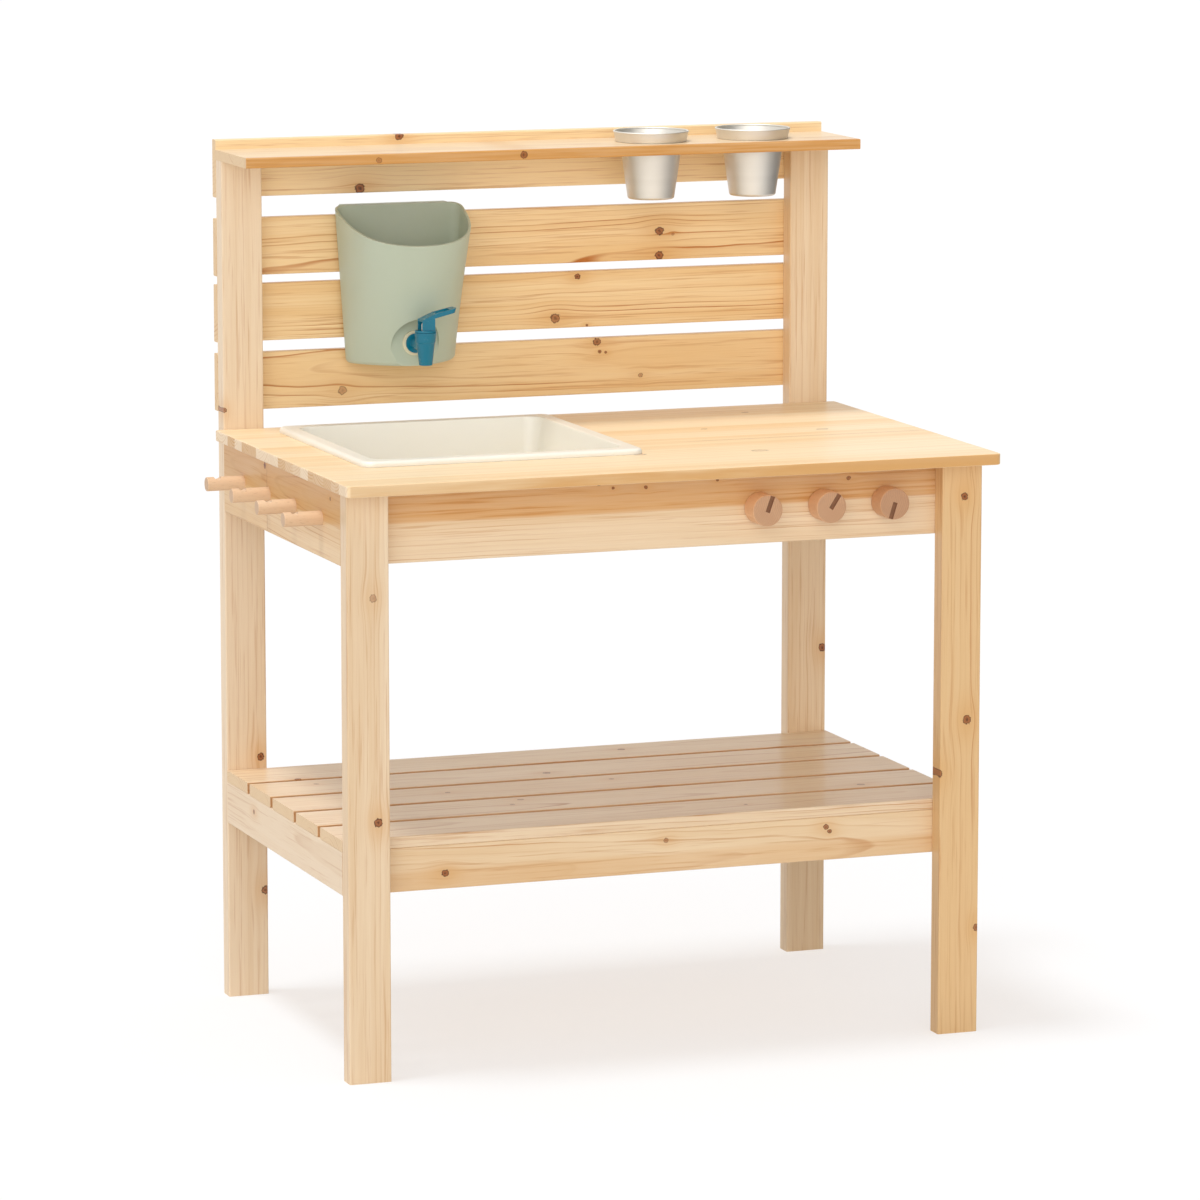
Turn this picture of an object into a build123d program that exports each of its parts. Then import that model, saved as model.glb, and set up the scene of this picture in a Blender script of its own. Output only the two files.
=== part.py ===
from build123d import *

import os

# Table frame
frame_width = 700.0  # across the outer faces of the legs
frame_depth = 430.0  # front faces of the front legs to front faces of the rear posts
leg_width = 45.0
leg_thickness = 21.0
board_thickness = 18.0  # aprons and lower rails
apron_height = 77.0
rail_height = 46.0
rail_clearance = 193.5  # floor to the underside of the lower rails
edge_radius = 1.5  # eased long edges of every board

# Worktop
worktop_height = 624.0  # floor to its upper face
worktop_thickness = 12.0
worktop_front_overhang = 30.0
worktop_side_overhang = 9.0
worktop_corner_radius = 6.0

# Lower shelf
shelf_slat_count = 5
shelf_slat_gap = 8.0
shelf_slat_thickness = 12.0

# Back panel, slats counted from the bottom
back_slat_height = 62.0
back_slat_thickness = 12.0
back_slat_gaps = (17.5, 12.4, 9.3, 22.8)  # below each slat

# Top shelf
top_shelf_depth = 113.0
top_shelf_thickness = 11.0
top_shelf_lip = 10.5  # how far the uppermost slat stands above the shelf

# Dowels and screws
dowel_radius = 4.0
dowel_length = 30.0
dowel_edge = 16.0  # apron dowels, from the apron's edges
slat_dowel_radius = 3.0
slat_dowel_depth = 10.0
slat_dowel_rise = 8.0
worktop_dowel_depth = 14.0
worktop_dowel_rise = 8.0
worktop_dowel_count = 3  # on each side apron
post_dowel_depth = 14.0
post_dowel_rise = 7.0
post_dowel_inset = 12.0  # from the post's outer face
screw_radius = 2.0
screw_head_radius = 4.0
screw_head_height = 2.4
leg_screw_length = 32.0
leg_screw_edge = 28.0  # apron screws, from the apron's edges
rail_screw_edge = 11.0
back_screw_length = 28.0
back_screw_inset = 30.0  # from the post's outer face
shelf_screw_length = 30.0
shelf_screw_pitch = 240.0
hole_clearance = 0.05  # radial, in the holes that take dowels, screws and bolts

# Hanging pegs on the left apron
peg_radius = 7.5
peg_reach = 41.0
peg_tenon_radius = 6.0
peg_tenon_length = 15.0
peg_pitch = 91.6
peg_offset = -3.5  # middle of the row, behind the apron's middle
peg_count = 4
peg_height = 41.2  # above the apron's lower edge
peg_end_radius = 0.8
peg_notch_inset = 12.0
peg_notch_radius = 4.0
peg_notch_depth = 3.0

# Control knobs on the front apron
knob_radius = 16.5
knob_length = 26.0
knob_gap = 0.3
knob_edge_radius = 1.5
knob_pitch = 71.2
knob_offset = 177.5  # middle knob, right of the frame's middle
knob_height = 37.7  # above the apron's lower edge
knob_angles = (-20.0, -33.0, -197.0)  # pointers, anticlockwise from upright
pointer_width = 4.0
pointer_length = 17.5
pointer_depth = 0.8
pointer_start = 1.5  # how far the pointer runs past the knob's centre
knob_bolt_radius = 3.0
knob_bolt_depth = 16.0  # in the knob
knob_bolt_head_radius = 5.0
knob_bolt_head_height = 4.0
washer_radius = 7.0
washer_thickness = 1.2

# Sink, tank and tap share one middle line
wet_offset = -147.0  # from the frame's middle

# Sink
sink_width = 308.0
sink_depth = 304.0
sink_setback = 34.0  # its rear edge, in front of the rear posts' front faces
sink_rim_height = 6.0
sink_rim_width = 14.0
sink_rim_radius = 4.0
sink_corner_radius = 12.0
sink_bowl_height = 80.0
sink_bowl_taper = 12.0  # each wall leans in by this much
sink_bowl_corner = 20.0
sink_floor_corner = 14.0
sink_wall = 2.5
sink_lip_radius = 1.6
sink_seat_gap = 0.2
sink_hole_clearance = 2.0

# Cups
cup_rim_radius = 41.3  # over the bead
cup_bead_radius = 1.1
cup_collar_radius = 38.6  # where the collar rests on the shelf
cup_body_radius = 34.4
cup_base_radius = 25.2
cup_height = 74.5
cup_wall = 1.2
cup_base_edge = 3.0
cup_play = 0.6  # radial, in the shelf's hole
cup_stand = 12.0  # rim above the shelf
cup_gap = 0.3
cup_pitch = 118.8
cup_offset = 185.5  # middle of the pair, right of the frame's middle
cup_setback = 58.0  # centre line, in front of the back slats

# Water tank
tank_half_width = 72.9
tank_base_half_width = 61.4
tank_depth = 107.3  # at the loft's upper outline
tank_base_depth = 65.6
tank_height = 170.2
tank_drop = 160.0  # its base below the upper edge of the slat it hangs on
tank_front_drop = 41.4  # front rim below the back rim
tank_corner_radius = 12.0
tank_fullness = 0.75  # how square the bowed front is in plan, at the top
tank_base_fullness = 0.4
tank_wall = 2.5
tank_base_edge = 6.0
tank_gap = 0.3
hook_width = 124.0
hook_rise = 10.0  # its top above the slat
hook_drop = 9.0  # its tail below the slat's upper edge
hook_thickness = 3.0
hook_gap = 0.5
hook_end_chamfer = 2.6
hook_rib_count = 3
hook_rib_thickness = 2.5
recess_radius = 27.0
recess_depth = 61.0  # its flat face in front of the slats

# Tap
tap_shank_height = 25.0  # above the tank's base
tap_reach = 38.0  # tap axis in front of the recess
tap_shank_radius = 6.5
tap_water_radius = 4.0
tap_shank_tail = 14.0  # behind the recess face
tap_flange_radius = 10.5
tap_flange_thickness = 3.0
gasket_radius = 13.5
gasket_thickness = 2.0
inner_washer_radius = 11.0
inner_washer_thickness = 1.5
nut_across_flats = 19.0
nut_thickness = 6.0
spout_radius = 7.2
spout_bore = 4.6
spout_drop = 20.0  # below the shank's axis
collar_radius = 11.8
collar_base_radius = 10.8
collar_base = 5.5  # above the shank's axis
collar_top = 15.5
collar_step = (0.8, 1.6)  # inward and down to the spout's taper
tap_edge_radius = 0.8
chamber_radius = 8.5
chamber_floor = -5.0
tap_play = 0.05
seat_gap = 0.3
seal_radius = 7.4
seal_thickness = 3.5
stem_rod_radius = 2.5
stem_rod_depth = 2.2  # in the seal
stem_shoulder_radius = 6.8
stem_shoulder_base = 2.0
stem_shoulder_height = 1.5
stem_square = 7.0
stem_square_play = 0.1
cap_gap = 0.3
cap_radius = 11.6
cap_thickness = 2.0
cap_neck_length = 5.5
spring_wire = 0.4
spring_radius = 6.2
spring_turns = 3
spring_gap = 0.3
pin_rise = 5.0  # above the cap
pin_radius = 1.25
lever_gap = 0.2
lever_width = 18.0
lever_wall = 2.0
lever_back = 6.0  # behind the pin
lever_cheek = 8.0  # cheeks end this far in front of the pin
lever_back_height = 6.5
lever_knee = (10.5, 13.5)
lever_tip = (33.0, 18.5)
lever_tip_rake = 1.5
lever_bar_height = 4.8
lever_end_bar = 7.5
lever_end_radius = 4.0

# Where things stand: the origin is under the middle of the overall box
overall_width = peg_reach + frame_width + worktop_side_overhang
overall_depth = (worktop_front_overhang + frame_depth + leg_thickness + back_slat_thickness
                 + hook_gap + hook_thickness)
left_x = -overall_width / 2 + peg_reach
right_x = left_x + frame_width
middle_x = left_x + frame_width / 2
wet_x = middle_x + wet_offset
front_y = -overall_depth / 2 + worktop_front_overhang
box_front_y = front_y + leg_thickness
post_y = front_y + frame_depth
slat_y = post_y + leg_thickness
back_y = slat_y + back_slat_thickness
leg_height = worktop_height - worktop_thickness
apron_z = leg_height - apron_height
rail_top = rail_clearance + rail_height
back_slat_bottoms = []
next_bottom = worktop_height
for gap_below in back_slat_gaps:
    next_bottom += gap_below
    back_slat_bottoms.append(next_bottom)
    next_bottom += back_slat_height
panel_top = next_bottom
shelf_top = panel_top - top_shelf_lip
post_height = shelf_top - top_shelf_thickness
low = (Align.MIN, Align.MIN, Align.MIN)
standing = (Align.CENTER, Align.CENTER, Align.MIN)
os.makedirs("parts", exist_ok=True)


def save(piece, name):
    piece.part.label = name
    export_step(piece.part, f"parts/{name}.step")


# Cuts round holes into the part that is being built
def drill(places, direction, radius, depth):
    for place in places:
        with Locations(Plane(origin=place, z_dir=direction)):
            Cylinder(radius, depth, align=standing, mode=Mode.SUBTRACT)


# One sawn board with its long edges eased and its dowel and screw holes drilled
def board(name, corner, size, grain, holes=()):
    with BuildPart() as plank:
        with Locations(corner):
            Box(*size, align=low)
        fillet(plank.edges().filter_by(grain), edge_radius)
        for places, direction, radius, depth in holes:
            drill(places, direction, radius + hole_clearance, depth)
    save(plank, name)


# A set of plain dowels, each from a start point along one direction
def dowels(name, runs, radius, length):
    with BuildPart() as pins:
        for places, direction in runs:
            for place in places:
                with Locations(Plane(origin=place, z_dir=direction)):
                    Cylinder(radius, length, align=standing)
    save(pins, name)


# A set of countersunk screws, each from the middle of its head
def screws(name, runs, length):
    with BuildPart() as fasteners:
        for places, direction in runs:
            for place in places:
                with Locations(Plane(origin=place, z_dir=direction)):
                    Cone(screw_head_radius, screw_radius, screw_head_height, align=standing)
                    Cylinder(screw_radius, length, align=standing)
    save(fasteners, name)


# Countersinks for such screws, in the part that is being built
def screw_holes(places, direction, length):
    drill(places, direction, screw_radius + hole_clearance, length)
    for place in places:
        with Locations(Plane(origin=place, z_dir=direction)):
            Cone(screw_head_radius + hole_clearance, screw_radius + hole_clearance,
                 screw_head_height, align=standing, mode=Mode.SUBTRACT)


# Fastener places
side_inner = (left_x + board_thickness, right_x - board_thickness)
dowel_bite = dowel_length - dowel_length / 3  # in the end of the cross board
apron_dowel_z = (apron_z + dowel_edge, leg_height - dowel_edge)
rail_dowel_z = (rail_clearance + rail_height / 2,)
cross_y = (box_front_y + board_thickness / 2, post_y - board_thickness / 2)
dowel_left_x = side_inner[0] - (dowel_length - dowel_bite)
dowel_right_x = side_inner[1] + (dowel_length - dowel_bite)
leg_screw_x = ((side_inner[0] + left_x + leg_width) / 2, (side_inner[1] + right_x - leg_width) / 2)
apron_screw_z = (apron_z + leg_screw_edge, leg_height - leg_screw_edge)
rail_screw_z = (rail_clearance + rail_screw_edge, rail_top - rail_screw_edge)
toward_front = (0, -1, 0)
toward_back = (0, 1, 0)
toward_left = (-1, 0, 0)
toward_right = (1, 0, 0)
up = (0, 0, 1)
down = (0, 0, -1)


def grid(xs, ys, zs):
    return [(x, y, z) for x in xs for y in ys for z in zs]


# Front legs and rear posts
leg_screw_z = apron_screw_z + rail_screw_z
front_screw_y = box_front_y + board_thickness
rear_screw_y = post_y - board_thickness
leg_bite = leg_screw_length - board_thickness
post_dowel_x = (left_x + post_dowel_inset, right_x - post_dowel_inset)
back_screw_x = (left_x + back_screw_inset, right_x - back_screw_inset)
post_mid_y = post_y + leg_thickness / 2
back_screw_z = []
for bottom in back_slat_bottoms:
    overlap = min(bottom + back_slat_height, post_height) - bottom
    back_screw_z += [bottom + overlap / 4, bottom + overlap * 3 / 4]
back_bite = back_screw_length - back_slat_thickness
for side, x, screw_x in (("left", left_x, leg_screw_x[0]),
                         ("right", right_x - leg_width, leg_screw_x[1])):
    tips = grid([screw_x], [box_front_y], leg_screw_z)
    board(f"front_{side}_leg", (x, front_y, 0), (leg_width, leg_thickness, leg_height), Axis.Z,
          [(tips, toward_front, screw_radius, leg_bite)])
for side, x, index in (("left", left_x, 0), ("right", right_x - leg_width, 1)):
    tips = grid([leg_screw_x[index]], [post_y], leg_screw_z)
    slat_tips = grid([back_screw_x[index]], [slat_y], back_screw_z)
    tops = [(post_dowel_x[index], post_mid_y, post_height)]
    board(f"rear_{side}_post", (x, post_y, 0), (leg_width, leg_thickness, post_height), Axis.Z,
          [(tips, toward_back, screw_radius, leg_bite),
           (slat_tips, toward_front, screw_radius, back_bite),
           (tops, down, dowel_radius, post_dowel_depth)])

# Knob centres on the front apron
knob_x = [middle_x + knob_offset + step * knob_pitch for step in (-1, 0, 1)]
knob_z = apron_z + knob_height
apron_back_y = box_front_y + board_thickness


# Front and rear boards of the apron box and of the lower frame, dowelled between the sides
def cross_board(name, y, z, height, screw_z, dowel_z, screw_y, direction, bolts=()):
    middle = y + board_thickness / 2
    with BuildPart() as cross:
        with Locations((side_inner[0], y, z)):
            Box(side_inner[1] - side_inner[0], board_thickness, height, align=low)
        fillet(cross.edges().filter_by(Axis.X), edge_radius)
        radius = dowel_radius + hole_clearance
        drill(grid([side_inner[0]], [middle], dowel_z), toward_right, radius, dowel_bite)
        drill(grid([side_inner[1]], [middle], dowel_z), toward_left, radius, dowel_bite)
        screw_holes(grid(leg_screw_x, [screw_y], screw_z), direction, board_thickness)
        drill(bolts, toward_back, knob_bolt_radius + hole_clearance, board_thickness)
    save(cross, name)


knob_holes = grid(knob_x, [box_front_y], [knob_z])
bolt_hole = knob_bolt_radius + hole_clearance
cross_board("front_apron", box_front_y, apron_z, apron_height, apron_screw_z, apron_dowel_z,
            front_screw_y, toward_front, knob_holes)
cross_board("rear_apron", rear_screw_y, apron_z, apron_height, apron_screw_z, apron_dowel_z,
            rear_screw_y, toward_back)
cross_board("lower_front_rail", box_front_y, rail_clearance, rail_height, rail_screw_z, rail_dowel_z,
            front_screw_y, toward_front)
cross_board("lower_rear_rail", rear_screw_y, rail_clearance, rail_height, rail_screw_z, rail_dowel_z,
            rear_screw_y, toward_back)

# Side boards between the front legs and the rear posts
side_length = post_y - box_front_y
box_mid_y = (box_front_y + post_y) / 2
peg_ys = [box_mid_y + peg_offset + (step - (peg_count - 1) / 2) * peg_pitch for step in range(peg_count)]
peg_z = apron_z + peg_height
side_x = (left_x + board_thickness / 2, right_x - board_thickness / 2)
worktop_dowel_y = [box_front_y + side_length * (step + 0.5) / worktop_dowel_count
                   for step in range(worktop_dowel_count)]
slat_width = (side_length - shelf_slat_gap * (shelf_slat_count - 1)) / shelf_slat_count
slat_fronts = [box_front_y + step * (slat_width + shelf_slat_gap) for step in range(shelf_slat_count)]
slat_mids = [y + slat_width / 2 for y in slat_fronts]
side_bite = dowel_length - dowel_bite
for side, x, inner, outward, mid in (("left", left_x, side_inner[0], toward_left, side_x[0]),
                                     ("right", side_inner[1], side_inner[1], toward_right, side_x[1])):
    apron_holes = [(grid([inner], cross_y, apron_dowel_z), outward, dowel_radius, side_bite),
                   (grid([mid], worktop_dowel_y, [leg_height]), down, dowel_radius, worktop_dowel_depth)]
    if side == "left":
        apron_holes.append((grid([left_x], peg_ys, [peg_z]), toward_right, peg_tenon_radius,
                            peg_tenon_length + hole_clearance))
    board(f"{side}_apron", (x, box_front_y, apron_z), (board_thickness, side_length, apron_height),
          Axis.Y, apron_holes)
    board(f"lower_{side}_rail", (x, box_front_y, rail_clearance),
          (board_thickness, side_length, rail_height), Axis.Y,
          [(grid([inner], cross_y, rail_dowel_z), outward, dowel_radius, side_bite),
           (grid([mid], slat_mids, [rail_top]), down, slat_dowel_radius, slat_dowel_depth)])

# Slats of the lower shelf, front to back
for number, y in enumerate(slat_fronts, 1):
    board(f"shelf_slat_{number}", (left_x, y, rail_top),
          (frame_width, slat_width, shelf_slat_thickness), Axis.X,
          [(grid(side_x, [y + slat_width / 2], [rail_top]), up, slat_dowel_radius, slat_dowel_rise)])

# Sink cut-out and worktop
sink_mid_y = post_y - sink_setback - sink_depth / 2
bowl_width = sink_width - 2 * sink_rim_width
bowl_depth = sink_depth - 2 * sink_rim_width
worktop_width = frame_width + 2 * worktop_side_overhang
worktop_depth = worktop_front_overhang + frame_depth
worktop_mid_y = front_y - worktop_front_overhang + worktop_depth / 2
with BuildPart() as worktop:
    with BuildSketch(Plane.XY.offset(leg_height)):
        with Locations((middle_x, worktop_mid_y)):
            slab = Rectangle(worktop_width, worktop_depth)
        fillet(slab.vertices().group_by(Axis.Y)[0], worktop_corner_radius)
        with Locations((wet_x, sink_mid_y)):
            RectangleRounded(bowl_width + 2 * sink_hole_clearance, bowl_depth + 2 * sink_hole_clearance,
                             sink_bowl_corner + sink_hole_clearance, mode=Mode.SUBTRACT)
    extrude(amount=worktop_thickness)
    outer_edges = worktop.faces().sort_by(Axis.Z)[-1].outer_wire().edges()
    fillet(outer_edges + worktop.faces().sort_by(Axis.Z)[0].outer_wire().edges(), edge_radius)
    drill(grid(side_x, worktop_dowel_y, [leg_height]), up, dowel_radius + hole_clearance, worktop_dowel_rise)
save(worktop, "worktop")

# Back slats behind the rear posts, numbered from the top
slat_total = len(back_slat_bottoms)
shelf_mid_z = shelf_top - top_shelf_thickness / 2
shelf_screw_x = [middle_x + step * shelf_screw_pitch for step in (-1, 0, 1)]
for index, bottom in enumerate(back_slat_bottoms):
    with BuildPart() as back_slat:
        with Locations((left_x, slat_y, bottom)):
            Box(frame_width, back_slat_thickness, back_slat_height, align=low)
        fillet(back_slat.edges().filter_by(Axis.X), edge_radius)
        pair = back_screw_z[2 * index:2 * index + 2]
        screw_holes(grid(back_screw_x, [back_y], pair), toward_front, back_slat_thickness)
        if index == slat_total - 1:
            screw_holes(grid(shelf_screw_x, [back_y], [shelf_mid_z]), toward_front, back_slat_thickness)
    save(back_slat, f"back_slat_{slat_total - index}")

# Cups hang in the top shelf by their collars
cup_x = (middle_x + cup_offset - cup_pitch / 2, middle_x + cup_offset + cup_pitch / 2)
cup_y = slat_y - cup_setback
cup_z = shelf_top + cup_stand - cup_height
cup_hole_radius = cup_body_radius + cup_play
with BuildPart() as top_shelf:
    with Locations((left_x, slat_y - top_shelf_depth, post_height)):
        Box(frame_width, top_shelf_depth, top_shelf_thickness, align=low)
    fillet(top_shelf.edges().filter_by(Axis.X).group_by(Axis.Y)[0], edge_radius)
    drill(grid(cup_x, [cup_y], [post_height]), up, cup_hole_radius, top_shelf_thickness)
    drill(grid(post_dowel_x, [post_mid_y], [post_height]), up, dowel_radius + hole_clearance, post_dowel_rise)
    drill(grid(shelf_screw_x, [slat_y], [shelf_mid_z]), toward_front, screw_radius + hole_clearance,
          shelf_screw_length - back_slat_thickness)
save(top_shelf, "top_shelf")

# Spun cups: a tapered body, a wider collar with a beaded rim and a rounded foot
bead_z = cup_z + cup_height - cup_bead_radius
bead_middle = cup_rim_radius - cup_bead_radius
cup_collar_z = shelf_top + cup_gap
for side, x in zip(("left", "right"), cup_x):
    with BuildPart() as cup:
        with BuildSketch(Plane.XZ.offset(-cup_y)):
            with BuildLine():
                Polyline((x, cup_z), (x + cup_base_radius, cup_z), (x + cup_body_radius, cup_collar_z),
                         (x + cup_collar_radius, cup_collar_z), (x + bead_middle + cup_wall / 2, bead_z),
                         (x + bead_middle - cup_wall / 2, bead_z),
                         (x + cup_collar_radius - cup_wall, cup_collar_z + cup_wall),
                         (x + cup_body_radius - cup_wall, cup_collar_z + cup_wall),
                         (x + cup_base_radius - cup_wall, cup_z + cup_wall),
                         (x, cup_z + cup_wall), close=True)
            make_face()
        revolve(axis=Axis((x, cup_y, 0), up))
        fillet(cup.edges().filter_by(GeomType.CIRCLE).group_by(Axis.Z)[0], cup_base_edge)
        with Locations((x, cup_y, bead_z)):
            Torus(bead_middle, cup_bead_radius)
    save(cup, f"cup_{side}")

# Hanging pegs: a turned tenon, a plain shank and a saddle notch near the end
for number, y in enumerate(peg_ys, 1):
    with BuildPart() as peg:
        with Locations(Plane(origin=(left_x, y, peg_z), z_dir=toward_right)):
            Cylinder(peg_tenon_radius, peg_tenon_length, align=standing)
        with Locations(Plane(origin=(left_x, y, peg_z), z_dir=toward_left)):
            Cylinder(peg_radius, peg_reach, align=standing)
        fillet(peg.edges().filter_by(GeomType.CIRCLE).group_by(Axis.X)[0], peg_end_radius)
        notch_z = peg_z + peg_radius - peg_notch_depth + peg_notch_radius
        with Locations((left_x - peg_reach + peg_notch_inset, y, notch_z)):
            Cylinder(peg_notch_radius, 2 * peg_radius, rotation=(90, 0, 0), mode=Mode.SUBTRACT)
    save(peg, f"peg_{number}")

# Knobs turn on bolts that pass through the front apron
knob_back_y = box_front_y - knob_gap
for side, x, angle in zip(("left", "middle", "right"), knob_x, knob_angles):
    face = Plane(origin=(x, knob_back_y - knob_length, knob_z), x_dir=toward_right, z_dir=toward_front)
    with BuildPart() as knob:
        with BuildSketch(face):
            Circle(knob_radius)
        extrude(amount=-knob_length)
        fillet(knob.edges(), knob_edge_radius)
        with BuildSketch(face):
            with Locations(Location((0, 0, 0), (0, 0, angle))):
                with Locations((0, pointer_length / 2 - pointer_start)):
                    Rectangle(pointer_width, pointer_length)
        extrude(amount=-pointer_depth, mode=Mode.SUBTRACT)
        drill([(x, knob_back_y, knob_z)], toward_front, bolt_hole, knob_bolt_depth)
    save(knob, f"knob_{side}")
    head_y = apron_back_y + washer_thickness + knob_gap
    with BuildPart() as bolt:
        with BuildSketch(Plane(origin=(x, head_y, knob_z), z_dir=toward_back)):
            RegularPolygon(knob_bolt_head_radius, 6)
        extrude(amount=knob_bolt_head_height)
        with Locations(Plane(origin=(x, head_y, knob_z), z_dir=toward_front)):
            Cylinder(knob_bolt_radius, head_y - knob_back_y + knob_bolt_depth, align=standing)
    save(bolt, f"knob_bolt_{side}")
with BuildPart() as washers:
    for x in knob_x:
        with Locations(Plane(origin=(x, apron_back_y, knob_z), z_dir=toward_back)):
            Cylinder(washer_radius, washer_thickness, align=standing)
    drill(grid(knob_x, [apron_back_y], [knob_z]), toward_back, bolt_hole, washer_thickness)
save(washers, "knob_washers")

# Sink: a leaning bowl under a turned-down rim that rests on the worktop
rim_z = worktop_height + sink_seat_gap
rim_top = rim_z + sink_rim_height
sink_plane = Plane(origin=(wet_x, sink_mid_y, 0))
with BuildPart() as sink:
    with BuildSketch(sink_plane.offset(rim_z)):
        RectangleRounded(sink_width, sink_depth, sink_corner_radius)
    extrude(amount=sink_rim_height)
    fillet(sink.faces().sort_by(Axis.Z)[-1].edges(), sink_rim_radius)
    with BuildSketch(sink_plane.offset(rim_z)):
        RectangleRounded(sink_width - 2 * sink_wall, sink_depth - 2 * sink_wall,
                         sink_corner_radius - sink_wall)
    extrude(amount=sink_rim_height - sink_wall, mode=Mode.SUBTRACT)
    with BuildSketch(sink_plane.offset(rim_top - sink_wall)):
        RectangleRounded(bowl_width, bowl_depth, sink_bowl_corner)
    with BuildSketch(sink_plane.offset(rim_top - sink_bowl_height)):
        RectangleRounded(bowl_width - 2 * sink_bowl_taper, bowl_depth - 2 * sink_bowl_taper,
                         sink_floor_corner)
    loft()
    inner_width = bowl_width - 2 * sink_wall
    inner_depth = bowl_depth - 2 * sink_wall
    with BuildSketch(sink_plane.offset(rim_top)):
        RectangleRounded(inner_width, inner_depth, sink_bowl_corner - sink_wall)
    with BuildSketch(sink_plane.offset(rim_top - sink_bowl_height + sink_wall)):
        RectangleRounded(inner_width - 2 * sink_bowl_taper, inner_depth - 2 * sink_bowl_taper,
                         sink_floor_corner - sink_wall)
    loft(mode=Mode.SUBTRACT)
    rim_face = sink.faces().sort_by(Axis.Z)[-1]
    fillet(rim_face.inner_wires()[0].edges(), sink_lip_radius)
save(sink, "sink")

# Tank levels: it hangs on the second slat from the top
hang_z = back_slat_bottoms[-2] + back_slat_height
tank_base = hang_z - tank_drop
tank_top = tank_base + tank_height
tank_y = slat_y - tank_gap
recess_y = slat_y - recess_depth
shank_z = tank_base + tap_shank_height


# Plan outline of the tank: straight back, rounded corners and a bowed front
def tank_outline(z, half_width, depth, fullness, corner, back):
    with BuildSketch(Plane(origin=(wet_x, back, z))) as outline:
        with BuildLine():
            Line((corner - half_width, 0), (half_width - corner, 0))
            RadiusArc((half_width - corner, 0), (half_width, -corner), corner)
            Bezier((half_width, -corner), (half_width, -depth * fullness),
                   (half_width * fullness, -depth), (0, -depth))
            Bezier((0, -depth), (-half_width * fullness, -depth),
                   (-half_width, -depth * fullness), (-half_width, -corner))
            RadiusArc((-half_width, -corner), (corner - half_width, 0), corner)
        make_face()
    return outline.sketch


# Arched flat for the tap, cut from the plane of its face towards the front
def arch_outline(radius, y):
    with BuildSketch(Plane(origin=(wet_x, y, shank_z), x_dir=toward_right, z_dir=toward_front)) as arch:
        Circle(radius)
        with Locations((0, -tap_shank_height)):
            Rectangle(2 * radius, 2 * tap_shank_height)
    return arch.sketch


wall = tank_wall
with BuildPart() as hollow:
    loft([tank_outline(tank_base + wall, tank_base_half_width - wall, tank_base_depth - 2 * wall,
                       tank_base_fullness, tank_corner_radius - wall, tank_y - wall),
          tank_outline(tank_top, tank_half_width - wall, tank_depth - 2 * wall,
                       tank_fullness, tank_corner_radius - wall, tank_y - wall)])
    extrude(arch_outline(recess_radius + wall, recess_y + wall), amount=tank_depth, mode=Mode.SUBTRACT)
rim_slope = Plane(origin=(wet_x, tank_y, tank_top),
                  z_dir=(0, -tank_front_drop / tank_depth, 1))
hook_back = back_y + hook_gap
hook_top = hang_z + hook_rise
hook_rib_pitch = (hook_width - 2 * hook_end_chamfer) / hook_rib_count
with BuildPart() as hook:
    with BuildSketch(Plane(origin=(wet_x - hook_width / 2, 0, 0), x_dir=toward_back, z_dir=toward_right)):
        with BuildLine():
            Polyline((tank_y - wall, hang_z - hook_drop), (tank_y - wall, hook_top),
                     (hook_back + hook_thickness, hook_top), (hook_back + hook_thickness, hang_z - hook_drop),
                     (hook_back, hang_z - hook_drop), (hook_back, hook_top - hook_thickness),
                     (tank_y, hook_top - hook_thickness), (tank_y, hang_z - hook_drop), close=True)
        make_face()
    extrude(amount=hook_width)
    chamfer(hook.edges().filter_by(Axis.Y).group_by(Axis.Z)[-1], hook_end_chamfer)
    for step in range(hook_rib_count):
        rib_x = wet_x + (step - (hook_rib_count - 1) / 2) * hook_rib_pitch
        with Locations((rib_x - hook_rib_thickness / 2, tank_y, hang_z)):
            Box(hook_rib_thickness, hook_back - tank_y, hook_rise - hook_thickness, align=low)
with BuildPart() as tank:
    loft([tank_outline(tank_base, tank_base_half_width, tank_base_depth, tank_base_fullness,
                       tank_corner_radius, tank_y),
          tank_outline(tank_top, tank_half_width, tank_depth, tank_fullness, tank_corner_radius, tank_y)])
    fillet(tank.faces().sort_by(Axis.Z)[0].edges(), tank_base_edge)
    extrude(arch_outline(recess_radius, recess_y), amount=tank_depth, mode=Mode.SUBTRACT)
    add(hollow.part, mode=Mode.SUBTRACT)
    split(bisect_by=rim_slope, keep=Keep.BOTTOM)
    drill([(wet_x, recess_y, shank_z)], toward_back, tap_shank_radius + hole_clearance, 2 * wall)
    add(hook.part)
save(tank, "tank")

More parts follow.
